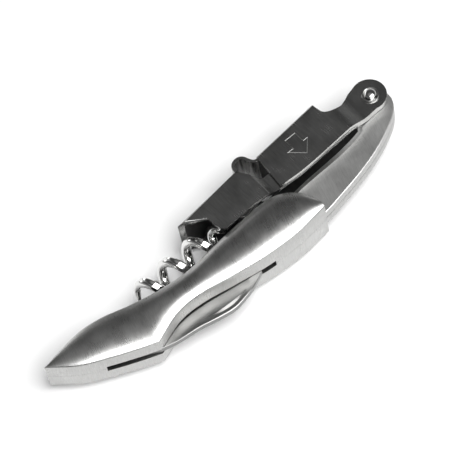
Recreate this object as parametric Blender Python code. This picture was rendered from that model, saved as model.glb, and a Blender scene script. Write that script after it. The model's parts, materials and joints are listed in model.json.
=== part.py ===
"""Two-step lever corkscrew, folded shut and lying on its side.

+X runs from the pointed tail to the lever hinge, +Y from the handle's back edge to the levers,
and +Z through the thickness. Outlines are drawn on a layout that starts at the tail tip, and
one empty carries the whole layout to the middle of its bounding box, standing on Z = 0.
"""
import math

import bmesh
import bpy
from mathutils import Matrix, Vector

MM = 0.001

# Overall sizes
HANDLE_LENGTH = 121.5 * MM      # tail tip to the far side of the hinge
LAYOUT_LENGTH = 121.5           # length of the layout that the outlines' X values are drawn on
BODY_HALF = 7.8 * MM            # crest of each domed half above the middle plane
LEVER_HALF = 7.6 * MM           # outer face of both levers' channels above the middle plane
NECK_HALF = 2.9 * MM            # half the neck's thickness

# Fits
SEAM = 0.3 * MM                 # between the two handle halves
GAP = 0.3 * MM                  # beside sliding faces
STACK_GAP = 0.25 * MM           # between the sheets stacked on the hinge
BORE_CLEARANCE = 0.15 * MM      # around pins in their bores

# Sheet and wire
LEVER_SHEET = 1.0 * MM
SPRING_SHEET = 0.4 * MM
BLADE_THICKNESS = 1.9 * MM
WORM_RADIUS = 4.9 * MM          # outside of the coil
WIRE_RADIUS = 1.4 * MM
WORM_PITCH = 8.8 * MM
SLIP_SPRING_HALF = 1.0 * MM     # half the slip spring's width
SLIP_SPRING_DEPTH = 1.1 * MM

# Pins
PIVOT_PIN_RADIUS = 1.25 * MM
PIVOT_PIN_HALF = 4.0 * MM
DOWEL_RADIUS = 1.0 * MM
DOWEL_HALF = 2.0 * MM
RIVET_RADIUS = 1.2 * MM
RIVET_HEAD_RADIUS = 1.6 * MM
RIVET_HEAD_HEIGHT = 0.7 * MM
RING_RADIUS = 2.5 * MM
RING_THICKNESS = 0.4 * MM
BUSH_RADIUS = 2.3 * MM
WASHER_RADIUS = 2.7 * MM
WASHER_THICKNESS = 0.35 * MM

# Round ends about the pivots
TANG_RADIUS = 3.4 * MM
KNUCKLE_RADIUS = 2.9 * MM
KNUCKLE_HALF = 1.9 * MM
NECK_END_RADIUS = 4.75 * MM
LONG_EYE_RADIUS = 4.3 * MM
SHORT_EAR_RADIUS = 4.95 * MM
EAR_SHIFT = -0.2 * MM            # the ear's round runs this far off the hinge along X
BAY_WALL = 0.9 * MM             # metal between the worm's bay and the slip spring

FRAME = None


def at(x, y, z=0.0):
    """A point of the layout: X follows the handle's length, Y and Z are millimetres."""
    return Vector((x / LAYOUT_LENGTH * HANDLE_LENGTH, y * MM, z))


def flat(points):
    """A layout outline from plain number pairs."""
    return [at(x, y) for x, y in points]


KNIFE_PIVOT = at(19.5, -7.5)
WORM_PIVOT = at(72.0, -5.2)
HINGE = at(117.1, 2.9)
WORM_START = at(31.3, 0.43)
WORM_END = at(62.0, 1.35)

SLOT_HALF = BLADE_THICKNESS / 2 + 0.2 * MM
BAY_HALF = WORM_RADIUS + GAP
KNUCKLE_SLOT_HALF = KNUCKLE_HALF + GAP

EYE_IN = NECK_HALF + STACK_GAP
EYE_OUT = EYE_IN + LEVER_SHEET
EAR_OUT = EYE_OUT + STACK_GAP + LEVER_SHEET
BAR_OUT = LEVER_HALF - LEVER_SHEET - GAP
RING_BASE = EAR_OUT + BORE_CLEARANCE
HEAD_BASE = RING_BASE + RING_THICKNESS + BORE_CLEARANCE


def worm_axis(x):
    """Height of the worm's centre line over a place along X."""
    share = (x - WORM_START.x) / (WORM_END.x - WORM_START.x)
    return WORM_START.y + share * (WORM_END.y - WORM_START.y)


def bay_floor(x):
    """The worm's bay stays clear of the coil all along."""
    return worm_axis(x) - WORM_RADIUS - GAP


# Scene helpers

def clear_scene():
    for obj in list(bpy.data.objects):
        bpy.data.objects.remove(obj, do_unlink=True)


def add_empty(name):
    empty = bpy.data.objects.new(name, None)
    bpy.context.scene.collection.objects.link(empty)
    return empty


def metal(name, shade, roughness):
    """Plain steel in its own material."""
    material = bpy.data.materials.new(name)
    material.use_nodes = True
    shader = material.node_tree.nodes["Principled BSDF"]
    shader.inputs["Base Color"].default_value = (shade, shade, shade * 0.985, 1.0)
    shader.inputs["Roughness"].default_value = roughness
    shader.inputs["Metallic"].default_value = 1.0
    return material


def add_object(name, bm, pivot=None):
    """Closes a bmesh into an object whose origin lies on the pivot."""
    pivot = pivot if pivot is not None else Vector((0.0, 0.0, 0.0))
    bmesh.ops.recalc_face_normals(bm, faces=bm.faces)
    mesh = bpy.data.meshes.new(name)
    bm.to_mesh(mesh)
    bm.free()
    mesh.transform(Matrix.Translation(-pivot))
    obj = bpy.data.objects.new(name, mesh)
    obj.location = pivot
    obj.parent = FRAME
    bpy.context.scene.collection.objects.link(obj)
    return obj


def dress(obj, shade, roughness, sharp_angle=40.0):
    """Gives a finished piece its steel and smooth round faces."""
    obj.data.materials.append(metal(obj.name, shade, roughness))
    obj.data.shade_smooth()
    obj.data.set_sharp_from_angle(angle=math.radians(sharp_angle))
    return obj


def combine(target, other, operation):
    """Adds a Boolean with another object, which becomes a guide and not a piece."""
    modifier = target.modifiers.new(other.name, "BOOLEAN")
    modifier.operation = operation
    modifier.solver = "EXACT"
    modifier.object = other
    other.hide_render = True
    other.display_type = "WIRE"
    return target


def cut(target, cutter):
    return combine(target, cutter, "DIFFERENCE")


def join(target, other):
    return combine(target, other, "UNION")


# Shape helpers

def prism_mesh(outline, bottom, top):
    """An outline in the XY plane, extruded from one height to another."""
    bm = bmesh.new()
    face = bm.faces.new([bm.verts.new((p.x, p.y, bottom)) for p in outline])
    raised = bmesh.ops.extrude_face_region(bm, geom=[face])
    verts = [item for item in raised["geom"] if isinstance(item, bmesh.types.BMVert)]
    bmesh.ops.translate(bm, verts=verts, vec=(0.0, 0.0, top - bottom))
    return bm


def prism(name, outline, bottom, top, pivot=None):
    return add_object(name, prism_mesh(outline, bottom, top), pivot)


def arc(centre, radius, start, end, steps):
    """Points on an arc, angles in degrees, both ends included."""
    angles = [math.radians(start + (end - start) * i / steps) for i in range(steps + 1)]
    return [Vector((centre.x + radius * math.cos(a), centre.y + radius * math.sin(a), 0.0))
            for a in angles]


def disc(name, centre, radius, bottom, top, sides=24, pivot=None):
    return prism(name, arc(centre, radius, 0.0, 360.0 * (1 - 1 / sides), sides - 1), bottom, top,
                 pivot)


def spline(rows, steps, corners=()):
    """A smooth curve through rows of numbers, with a sharp turn at each listed row."""
    def slope(i, side):
        low = i if (i in corners and side > 0) else max(i - 1, 0)
        high = i if (i in corners and side < 0) else min(i + 1, len(rows) - 1)
        span = max(high - low, 1)
        return [(b - a) / span for a, b in zip(rows[low], rows[high])]

    curve = [list(rows[0])]
    for i in range(len(rows) - 1):
        out_slope = slope(i, 1)
        in_slope = slope(i + 1, -1)
        for step in range(1, steps + 1):
            t = step / steps
            h0 = 2 * t**3 - 3 * t**2 + 1
            h1 = t**3 - 2 * t**2 + t
            h2 = 3 * t**2 - 2 * t**3
            h3 = t**3 - t**2
            curve.append([h0 * a + h1 * m + h2 * b + h3 * n for a, m, b, n
                          in zip(rows[i], out_slope, rows[i + 1], in_slope)])
    return curve


def ribbon_outline(centre_line, thickness):
    """Both sides of a strip that follows a centre line."""
    left = []
    right = []
    last = len(centre_line) - 1
    for i, point in enumerate(centre_line):
        run = (centre_line[min(i + 1, last)] - centre_line[max(i - 1, 0)]).normalized()
        side = Vector((-run.y, run.x, 0.0)) * thickness / 2
        left.append(point + side)
        right.append(point - side)
    return left + right[::-1]


def tube_mesh(path, radii, sides):
    """A round wire through the path's points, one radius at each point."""
    bm = bmesh.new()
    rings = []
    last = len(path) - 1
    side = Vector((0.0, 0.0, 1.0))
    for i, point in enumerate(path):
        run = (path[min(i + 1, last)] - path[max(i - 1, 0)]).normalized()
        side = (side - run * side.dot(run)).normalized()
        up = run.cross(side)
        ring = []
        for k in range(sides):
            a = 2 * math.pi * k / sides
            ring.append(bm.verts.new(point + radii[i] * (math.cos(a) * side + math.sin(a) * up)))
        rings.append(ring)
    for first, second in zip(rings, rings[1:]):
        for k in range(sides):
            n = (k + 1) % sides
            bm.faces.new((first[k], first[n], second[n], second[k]))
    bm.faces.new(rings[0][::-1])
    bm.faces.new(rings[-1])
    return bm


def channel(name, outer, inner, half_at, bends, pivot):
    """A sheet channel: a solid with stepped sides, hollowed by a cutter one sheet smaller."""
    def stepped(outline, inset):
        bm = prism_mesh(outline, -1.0, 1.0)
        for x in bends:
            geometry = bm.verts[:] + bm.edges[:] + bm.faces[:]
            bmesh.ops.bisect_plane(bm, geom=geometry, plane_co=(x, 0, 0), plane_no=(1, 0, 0))
        for vert in bm.verts:
            vert.co.z *= half_at(vert.co.x) - inset
        return bm

    body = add_object(name, stepped(outer, 0.0), pivot)
    return cut(body, add_object(name + "_hollow", stepped(inner, LEVER_SHEET), pivot))


def ramp(x, start, end, before, after):
    """A value that changes in a straight line between two places along X."""
    share = min(max((x - start) / (end - start), 0.0), 1.0)
    return before + share * (after - before)


# Handle

# Columns: worm side X and Y, back edge X and Y, then how far below the crest the worm-side
# rim and the back rim lie, and how far the dome rises above the line between them.
SECTIONS = (
    (0.0, 0.0, 0.0, 0.0, 2.7, 2.7, 0.0),
    (7.4, 1.3, 6.8, -5.9, 2.5, 2.6, 0.7),
    (14.0, 1.8, 14.3, -9.9, 2.3, 2.5, 1.1),
    (20.5, 0.9, 21.5, -13.2, 2.2, 2.4, 1.2),
    (27.0, -1.1, 26.9, -15.4, 2.2, 2.3, 1.2),
    (36.5, -3.4, 36.0, -12.4, 2.1, 2.1, 1.2),
    (46.0, -4.3, 44.0, -12.4, 2.0, 1.9, 1.2),
    (56.0, -3.4, 54.0, -14.3, 1.8, 1.7, 1.3),
    (66.0, -2.7, 64.0, -16.0, 1.6, 1.4, 1.5),
    (76.0, -2.9, 74.0, -16.5, 1.5, 1.2, 1.3),
    (82.0, -6.4, 80.0, -16.0, 1.6, 1.1, 1.1),
    (85.0, -12.4, 84.6, -15.5, 1.6, 1.1, 0.6),
)
SCOOP_ROW = 4
DOME_POWER = 2.5


def bolster_mesh(side):
    """One domed half between the seam and the dome; side is +1 or -1 along Z."""
    rows = spline(SECTIONS, 3, corners=(SCOOP_ROW,))
    across = 8
    bm = bmesh.new()
    tops = []
    floors = []
    for xw, yw, xb, yb, drop_worm, drop_back, crown in rows:
        top = []
        floor = []
        for j in range(across + 1):
            share = (1 - math.cos(math.pi * j / across)) / 2
            x = xw + share * (xb - xw)
            y = yw + share * (yb - yw)
            drop = drop_worm + share * (drop_back - drop_worm)
            rise = crown * (1 - abs(2 * share - 1) ** DOME_POWER)
            top.append(bm.verts.new(at(x, y, side * (BODY_HALF + (rise - drop) * MM))))
            floor.append(bm.verts.new(at(x, y, side * SEAM / 2)))
        tops.append(top)
        floors.append(floor)
    for grid in (tops, floors):
        for first, second in zip(grid, grid[1:]):
            for j in range(across):
                bm.faces.new((first[j], first[j + 1], second[j + 1], second[j]))
    walls = [[(t[0], f[0]) for t, f in zip(tops, floors)],
             [(t[-1], f[-1]) for t, f in zip(tops, floors)],
             list(zip(tops[-1], floors[-1]))]
    for wall in walls:
        for (a, b), (c, d) in zip(wall, wall[1:]):
            bm.faces.new((a, b, d, c))
    bmesh.ops.remove_doubles(bm, verts=bm.verts, dist=1e-6)
    bmesh.ops.dissolve_degenerate(bm, dist=1e-7, edges=bm.edges)
    return bm


def neck_outline():
    """The flat neck, from inside the bolster to its round end at the hinge."""
    back = flat(((78.0, -15.4), (85.0, -15.1), (93.1, -13.7), (101.1, -12.0), (108.0, -9.9),
                 (113.6, -7.5), (117.8, -5.1), (120.4, -2.7), (121.6, -0.4)))
    end = arc(HINGE, NECK_END_RADIUS, 0.0, 175.0, 13)
    worm_side = flat(((108.0, -1.9), (103.5, -2.6), (97.2, -3.15), (85.0, -3.85), (78.0, -5.2)))
    return back + end + worm_side


def worm_bay_outline():
    """Open towards the levers; its floor runs along under the coil."""
    left = WORM_START.x - 1.2 * MM
    right = at(65.5, 0).x
    return [Vector((left, 12 * MM, 0)), Vector((left, bay_floor(left), 0)),
            Vector((right, bay_floor(right), 0)), Vector((right, 12 * MM, 0))]


def knuckle_slot_outline():
    """Room for the knuckle's arm in every position from folded to square."""
    p = WORM_PIVOT
    offsets = ((-8.0, 12.0), (-8.0, 0.6), (-3.0, -1.6), (3.0, -1.6), (6.2, 3.2), (6.2, 12.0))
    return [p + Vector((x * MM, y * MM, 0)) for x, y in offsets]


def slip_spring_top(x):
    return bay_floor(x) - BAY_WALL


def slip_spring_line():
    """Centre line of the leaf that presses on the knife's tang and the worm's knuckle."""
    places = (KNIFE_PIVOT.x + TANG_RADIUS + 1.0 * MM, at(35, 0).x, at(50, 0).x,
              WORM_PIVOT.x - KNUCKLE_RADIUS - 1.4 * MM)
    return [Vector((x, slip_spring_top(x) - SLIP_SPRING_DEPTH / 2, 0)) for x in places]


def spring_pin_place():
    x = at(44.0, 0).x
    return Vector((x, slip_spring_top(x) - 2.0 * MM, 0))


SPRING_BOSS_RADIUS = DOWEL_RADIUS + 0.9 * MM


def blade_edge_top():
    """Highest line of the cutting edge when the knife is shut, below the slip spring."""
    return spring_pin_place().y - SPRING_BOSS_RADIUS - 2 * GAP


def knife_pocket_outline():
    """Back slot of the knife, open along the back edge."""
    tail = KNIFE_PIVOT + Vector((-6.5 * MM, -1.6 * MM, 0))
    roof = KNIFE_PIVOT + Vector((-2.6 * MM, 2.4 * MM, 0))
    top = blade_edge_top() + GAP
    far = at(66.0, -30.0)
    return [Vector((tail.x, -30 * MM, 0)), tail, roof,
            Vector((KNIFE_PIVOT.x + 4.2 * MM, KNIFE_PIVOT.y + 0.6 * MM, 0)),
            Vector((at(30, 0).x, top, 0)), Vector((at(52, 0).x, top, 0)),
            at(60.0, -12.0), at(66.0, -14.6), far]


def dowel_places():
    return (("dowel_tail", at(10.0, -3.0)), ("dowel_middle", at(80.0, -12.0)),
            ("dowel_neck", at(103.0, -8.0)))


def cut_handle(half, tag):
    """All the recesses of one half; each cutter reaches through the middle plane."""
    cut(half, prism("bay_" + tag, worm_bay_outline(), -BAY_HALF, BAY_HALF))
    cut(half, prism("knuckle_slot_" + tag, knuckle_slot_outline(),
                    -KNUCKLE_SLOT_HALF, KNUCKLE_SLOT_HALF))
    cut(half, disc("knuckle_seat_" + tag, WORM_PIVOT, KNUCKLE_RADIUS + GAP,
                   -KNUCKLE_SLOT_HALF, KNUCKLE_SLOT_HALF))
    cut(half, prism("pocket_" + tag, knife_pocket_outline(), -SLOT_HALF, SLOT_HALF))
    cut(half, disc("tang_seat_" + tag, KNIFE_PIVOT, TANG_RADIUS + GAP, -SLOT_HALF, SLOT_HALF))
    spring_half = SLIP_SPRING_HALF + GAP / 2
    cut(half, prism("spring_slot_" + tag, ribbon_outline(spread(slip_spring_line(), 0.6 * MM),
                    SLIP_SPRING_DEPTH + 2 * GAP), -spring_half, spring_half))
    cut(half, disc("spring_boss_seat_" + tag, spring_pin_place(), SPRING_BOSS_RADIUS + GAP,
                   -spring_half, spring_half))
    for name, place, radius, reach in pin_list():
        depth = reach + BORE_CLEARANCE
        cut(half, disc(name + "_bore_" + tag, place, radius + BORE_CLEARANCE, -depth, depth))
    for name, place, slot in (("knife", KNIFE_PIVOT, SLOT_HALF),
                              ("worm", WORM_PIVOT, KNUCKLE_SLOT_HALF)):
        depth = slot + WASHER_THICKNESS + BORE_CLEARANCE
        cut(half, disc(name + "_washer_seat_" + tag, place, WASHER_RADIUS + BORE_CLEARANCE,
                       -depth, depth))
    depth = NECK_HALF + 5 * MM
    cut(half, disc("bush_bore_" + tag, HINGE, BUSH_RADIUS + BORE_CLEARANCE, -depth, depth))


def spread(line, extra):
    """The same line, longer by a little at both ends."""
    first = line[0] + (line[0] - line[1]).normalized() * extra
    last = line[-1] + (line[-1] - line[-2]).normalized() * extra
    return [first] + line[1:-1] + [last]


def pin_list():
    """Name, place, radius and half length of every plain pin between the halves."""
    pins = [("knife_pin", KNIFE_PIVOT, PIVOT_PIN_RADIUS, PIVOT_PIN_HALF),
            ("worm_pin", WORM_PIVOT, PIVOT_PIN_RADIUS, PIVOT_PIN_HALF),
            ("spring_pin", spring_pin_place(), DOWEL_RADIUS, DOWEL_HALF)]
    pins += [(name, place, DOWEL_RADIUS, DOWEL_HALF) for name, place in dowel_places()]
    return pins


def build_handle():
    for tag, side in (("near", 1), ("far", -1)):
        half = add_object("handle_" + tag, bolster_mesh(side))
        low, high = sorted((side * SEAM / 2, side * NECK_HALF))
        join(half, prism("neck_" + tag, neck_outline(), low, high))
        cut_handle(half, tag)
        dress(half, 0.62, 0.3)


def build_pins():
    for name, place, radius, reach in pin_list():
        dress(disc(name, place, radius, -reach, reach, sides=16), 0.7, 0.25)


def ring(name, centre, outer, inner, bottom, top, sides=24):
    body = disc(name, centre, outer, bottom, top, sides)
    margin = 1 * MM
    return cut(body, disc(name + "_hole", centre, inner, bottom - margin, top + margin, sides))


def build_washers():
    for name, place, slot in (("knife_washer", KNIFE_PIVOT, SLOT_HALF),
                              ("worm_washer", WORM_PIVOT, KNUCKLE_SLOT_HALF)):
        for tag, side in (("near", 1), ("far", -1)):
            low, high = sorted((side * slot, side * (slot + WASHER_THICKNESS)))
            body = ring(name + "_" + tag, place, WASHER_RADIUS,
                        PIVOT_PIN_RADIUS + BORE_CLEARANCE, low, high)
            dress(body, 0.7, 0.3)


def build_slip_spring():
    """A flat leaf with a round boss in its middle, held by a pin."""
    leaf = prism("slip_spring", ribbon_outline(slip_spring_line(), SLIP_SPRING_DEPTH),
                 -SLIP_SPRING_HALF, SLIP_SPRING_HALF)
    join(leaf, disc("slip_spring_boss", spring_pin_place(), SPRING_BOSS_RADIUS,
                    -SLIP_SPRING_HALF, SLIP_SPRING_HALF))
    reach = SLIP_SPRING_HALF + 1 * MM
    cut(leaf, disc("slip_spring_hole", spring_pin_place(), DOWEL_RADIUS + BORE_CLEARANCE,
                   -reach, reach))
    dress(leaf, 0.6, 0.35)


# Hinge

def build_hinge():
    """Bush through the neck, a ring on each ear, and the rivet with its two round heads."""
    ring_height = NECK_HALF
    dress(ring("hinge_bush", HINGE, BUSH_RADIUS, RIVET_RADIUS + BORE_CLEARANCE,
               -ring_height, ring_height), 0.7, 0.3)
    for tag, side in (("near", 1), ("far", -1)):
        low, high = sorted((side * RING_BASE, side * (RING_BASE + RING_THICKNESS)))
        dress(ring("hinge_ring_" + tag, HINGE, RING_RADIUS, RIVET_RADIUS + BORE_CLEARANCE,
                   low, high), 0.75, 0.2)
    dress(add_object("hinge_rivet", rivet_mesh(), HINGE), 0.8, 0.12)


def rivet_mesh():
    """One turned body: head, shank, head."""
    head = []
    for i in range(5):
        a = math.pi / 2 * i / 4
        head.append((RIVET_HEAD_RADIUS * math.sin(a), HEAD_BASE + RIVET_HEAD_HEIGHT * math.cos(a)))
    profile = head + [(RIVET_RADIUS, HEAD_BASE)]
    profile += [(radius, -height) for radius, height in reversed(profile)]
    sides = 20
    bm = bmesh.new()
    rings = []
    for radius, height in profile:
        if radius < 1e-9:
            rings.append([bm.verts.new((HINGE.x, HINGE.y, height))])
            continue
        rings.append([bm.verts.new((HINGE.x + radius * math.cos(2 * math.pi * k / sides),
                                    HINGE.y + radius * math.sin(2 * math.pi * k / sides),
                                    height)) for k in range(sides)])
    for first, second in zip(rings, rings[1:]):
        for k in range(sides):
            n = (k + 1) % sides
            corners = [first[k % len(first)], first[n % len(first)],
                       second[n % len(second)], second[k % len(second)]]
            bm.faces.new(list(dict.fromkeys(corners)))
    return bm


# Levers

def short_lever_outline():
    """Free edge, ear about the hinge, crown-cap notch, then the web's outer line."""
    free_edge = flat(((80.2, -2.7), (87.3, -3.2), (95.0, -2.9), (103.4, -2.3), (108.5, -2.0)))
    centre = HINGE + Vector((EAR_SHIFT, 0.4 * MM, 0))
    ear = arc(centre, SHORT_EAR_RADIUS, -105.0, 105.0, 16)
    knots = [(p.x, p.y) for p in flat(((112.6, 7.3), (110.6, 6.3), (108.3, 5.4), (105.9, 5.6),
                                       (104.0, 6.7), (103.2, 8.9)))]
    notch = [Vector((x, y, 0)) for x, y in spline(knots, 2)]
    web = flat(((102.8, 10.9), (81.3, 9.0)))
    return free_edge + ear + notch + web


JOGGLE_START = at(105.5, 0).x    # both levers step in between the same two bend lines
JOGGLE_END = at(112.0, 0).x
FOOT_END = at(76.0, 0).x
BAR_START = at(78.2, 0).x


def short_half(x):
    return ramp(x, JOGGLE_START, JOGGLE_END, LEVER_HALF, EAR_OUT)


def long_half(x):
    foot_to_bar = ramp(x, FOOT_END, BAR_START, LEVER_HALF, BAR_OUT)
    return min(foot_to_bar, ramp(x, JOGGLE_START, JOGGLE_END, BAR_OUT, EYE_OUT))


def web_inner(x, start, end):
    """Inner face of a web whose outer line runs between two points."""
    share = (x - start.x) / (end.x - start.x)
    return start.y + share * (end.y - start.y) - LEVER_SHEET


def short_web_line():
    return at(81.3, 9.0), at(102.8, 10.9)


def long_web_line():
    """The foot's web clears the coil, so its low end follows the worm's size."""
    start = at(52.1, 0)
    start.y = worm_axis(start.x) + WORM_RADIUS + GAP + LEVER_SHEET
    return start, at(73.1, 9.15)


def hollow_outline(web_start, web_end, left, right, low, high):
    """Everything inside a channel: under the web, and full height past the web's end."""
    def inner(x):
        return web_inner(x, web_start, web_end)

    return [Vector((left, low, 0)), Vector((right, low, 0)), Vector((right, high, 0)),
            Vector((web_end.x, high, 0)), Vector((web_end.x, inner(web_end.x), 0)),
            Vector((left, inner(left), 0))]


def build_short_lever():
    start, end = short_web_line()
    inner = hollow_outline(start, end, at(70, 0).x, at(130, 0).x, -20 * MM, 20 * MM)
    bends = (JOGGLE_START, JOGGLE_END)
    lever = channel("short_lever", short_lever_outline(), inner, short_half, bends, HINGE)
    strip_inset = 0.05 * MM
    line = flat(((84.5, 8.78), (81.4, 8.55), (80.2, 9.0), (79.4, 10.3), (78.9, 11.6),
                 (77.9, 12.45), (76.5, 12.5), (75.3, 11.8), (74.8, 10.8), (74.7, 9.9)))
    tongue_half = LEVER_HALF - 1.5 * MM
    join(lever, prism("tongue", ribbon_outline(line, LEVER_SHEET - 2 * strip_inset),
                      -tongue_half, tongue_half, HINGE))
    cut(lever, disc("short_eye", HINGE, RIVET_RADIUS + BORE_CLEARANCE, -20 * MM, 20 * MM,
                    pivot=HINGE))
    cut(lever, post("spring_rivet_hole", spring_rivet_place(), SPRING_RIVET_RADIUS
                    + BORE_CLEARANCE, 5 * MM, 15 * MM, HINGE))
    dress(lever, 0.45, 0.3)


def build_long_lever():
    start, end = long_web_line()
    foot = [start, at(59.4, 3.3), at(59.6, 0.4), at(59.9, -1.7), at(62.3, -2.4), at(67.0, -2.2),
            at(72.8, -2.2), at(78.0, -2.6)]
    bar_bottom = flat(((87.3, -3.1), (103.4, -2.3), (110.0, -1.7)))
    eye = arc(HINGE, LONG_EYE_RADIUS, -100.0, 120.0, 14)
    bar_top = flat(((108.0, 4.0), (90.0, 3.0), (77.9, 3.0)))
    shoulder = flat(((76.8, 4.7), (75.6, 6.9), (74.6, 8.3))) + [end]
    outline = foot + bar_bottom + eye + bar_top + shoulder
    inner = hollow_outline(start, end, at(45, 0).x, at(130, 0).x, -20 * MM, 20 * MM)
    bends = (FOOT_END, BAR_START, JOGGLE_START, JOGGLE_END)
    lever = channel("long_lever", outline, inner, long_half, bends, HINGE)
    cut(lever, disc("long_eye", HINGE, RIVET_RADIUS + BORE_CLEARANCE, -20 * MM, 20 * MM,
                    pivot=HINGE))
    dress(lever, 0.45, 0.3)


SPRING_RIVET_RADIUS = 1.0 * MM
SPRING_RIVET_HEAD = 1.8 * MM
SPRING_RIVET_HEAD_HEIGHT = 0.5 * MM


def spring_rivet_place():
    return at(98.5, 0.0)


def post(name, place, radius, low, high, pivot):
    """A round post along Y."""
    bm = prism_mesh(arc(Vector((0, 0, 0)), radius, 0.0, 342.0, 19), low, high)
    turn = Matrix.Rotation(math.radians(-90.0), 4, "X")
    bmesh.ops.transform(bm, matrix=Matrix.Translation((place.x, 0, 0)) @ turn, verts=bm.verts)
    return add_object(name, bm, pivot)


def build_lever_spring():
    """Leaf under the short lever's web, shown pressed flat, and its rivet."""
    start, end = short_web_line()
    place = spring_rivet_place()

    def line_at(x, sag):
        inner = web_inner(at(x, 0).x, start, end)
        return Vector((at(x, 0).x, inner - GAP - SPRING_SHEET / 2 - sag * MM, 0))

    line = [line_at(101.5, 0.0), line_at(95.5, 0.0), line_at(92.0, 0.2), line_at(88.5, 0.6),
            line_at(85.5, 0.7)]
    half = LEVER_HALF - LEVER_SHEET - 2 * GAP
    leaf = prism("lever_spring", ribbon_outline(line, SPRING_SHEET), -half, half, HINGE)
    cut(leaf, post("lever_spring_hole", place, SPRING_RIVET_RADIUS + BORE_CLEARANCE,
                   5 * MM, 15 * MM, HINGE))
    dress(leaf, 0.55, 0.3)
    web_low = web_inner(place.x, start, end)
    slope = (end.y - start.y) / (end.x - start.x) * SPRING_RIVET_HEAD
    top = web_low + LEVER_SHEET + slope + BORE_CLEARANCE
    bottom = web_low - 2 * GAP - SPRING_SHEET - slope
    rivet = post("lever_spring_rivet", place, SPRING_RIVET_RADIUS,
                 bottom - 0.2 * MM, top + 0.2 * MM, HINGE)
    height = SPRING_RIVET_HEAD_HEIGHT
    join(rivet, post("outer_head", place, SPRING_RIVET_HEAD, top, top + height, HINGE))
    join(rivet, post("inner_head", place, SPRING_RIVET_HEAD, bottom - height, bottom, HINGE))
    dress(rivet, 0.7, 0.2)


# Worm

WORM_TIP_PHASE = -123.0
COIL_STEPS = 20
SOCKET_RADIUS = 1.9 * MM
SOCKET_DEPTH = 3.2 * MM
SOCKET_TOP = 7.4 * MM


def socket_direction():
    """The knuckle's arm points from the pivot towards the end of the coil."""
    aim = at(65.2, 0)
    aim.y = worm_axis(aim.x)
    return (aim - WORM_PIVOT).normalized()


def worm_path():
    """The coil from its point, closing on the axis, then down into the knuckle's socket."""
    coil_radius = WORM_RADIUS - WIRE_RADIUS
    start = WORM_START.x
    coil_end = at(60.0, 0).x
    count = round((coil_end - start) / WORM_PITCH * COIL_STEPS)
    path = []
    radii = []
    for i in range(count + 1):
        x = start + (coil_end - start) * i / count
        phase = math.radians(WORM_TIP_PHASE) + 2 * math.pi * (x - start) / WORM_PITCH
        path.append(Vector((x, worm_axis(x) + coil_radius * math.cos(phase),
                            coil_radius * math.sin(phase))))
        radii.append(WIRE_RADIUS * (0.12 + 0.88 * min(i / (COIL_STEPS * 0.6), 1.0) ** 0.7))
    phase_end = math.radians(WORM_TIP_PHASE) + 2 * math.pi * (coil_end - start) / WORM_PITCH
    steps = 8
    for i in range(1, steps + 1):
        t = i / steps
        x = coil_end + 3.6 * MM * t
        radius = coil_radius * (1 - t) ** 1.2
        phase = phase_end + math.pi * 0.6 * t
        path.append(Vector((x, worm_axis(x) + radius * math.cos(phase),
                            radius * math.sin(phase))))
        radii.append(WIRE_RADIUS)
    direction = socket_direction()
    bend = WORM_PIVOT + direction * (SOCKET_TOP + 0.6 * MM)
    inside = WORM_PIVOT + direction * (SOCKET_TOP - SOCKET_DEPTH + 2 * BORE_CLEARANCE)
    path += [bend, inside]
    radii += [WIRE_RADIUS, WIRE_RADIUS]
    return path, radii


def build_worm():
    path, radii = worm_path()
    dress(add_object("worm", tube_mesh(path, radii, 8), WORM_PIVOT), 0.8, 0.1)


def build_knuckle():
    """An eye on the pivot pin with a socket for the worm's shank."""
    knuckle = disc("worm_knuckle", WORM_PIVOT, KNUCKLE_RADIUS, -KNUCKLE_HALF, KNUCKLE_HALF,
                   pivot=WORM_PIVOT)
    direction = socket_direction()
    arm = [WORM_PIVOT + direction * (0.6 * MM), WORM_PIVOT + direction * SOCKET_TOP]
    radius = min(SOCKET_RADIUS, KNUCKLE_HALF - 0.02 * MM)
    join(knuckle, add_object("socket", tube_mesh(arm, [radius] * 2, 20), WORM_PIVOT))
    hole = [WORM_PIVOT + direction * (SOCKET_TOP - SOCKET_DEPTH),
            WORM_PIVOT + direction * (SOCKET_TOP + 2 * MM)]
    hole_radius = WIRE_RADIUS + BORE_CLEARANCE
    cut(knuckle, add_object("socket_bore", tube_mesh(hole, [hole_radius] * 2, 20), WORM_PIVOT))
    reach = KNUCKLE_HALF + 1 * MM
    cut(knuckle, disc("knuckle_eye", WORM_PIVOT, PIVOT_PIN_RADIUS + BORE_CLEARANCE,
                      -reach, reach, pivot=WORM_PIVOT))
    dress(knuckle, 0.6, 0.25)


# Knife

def blade_outline():
    """Round tang, straight heel, hollow spine with its belly, then the edge back to the tang."""
    tang = arc(KNIFE_PIVOT, TANG_RADIUS, 0.0, 212.0, 16)
    spine = flat(((28.0, -15.8), (31.8, -16.3), (38.4, -17.2), (44.9, -18.7), (49.4, -19.3),
                  (54.3, -18.5), (57.3, -17.6), (61.6, -15.6)))
    top = blade_edge_top()
    edge = [at(59.5, -13.8), at(56.0, -11.9), Vector((at(50, 0).x, top - 0.8 * MM, 0)),
            Vector((at(42, 0).x, top - 0.3 * MM, 0)), Vector((at(30, 0).x, top - 0.3 * MM, 0))]
    return tang + spine + edge


def build_knife():
    half = BLADE_THICKNESS / 2
    blade = prism("knife_blade", blade_outline(), -half, half, KNIFE_PIVOT)
    cut(blade, disc("tang_eye", KNIFE_PIVOT, PIVOT_PIN_RADIUS + BORE_CLEARANCE,
                    -half - 1 * MM, half + 1 * MM, pivot=KNIFE_PIVOT))
    groove = ribbon_outline(flat(((42.8, -16.9), (46.5, -17.6), (50.5, -17.8), (54.5, -17.2))),
                            1.0 * MM)
    cut(blade, prism("nail_nick", groove, half - 0.4 * MM, half + 1 * MM, KNIFE_PIVOT))
    dress(blade, 0.4, 0.25)


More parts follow.
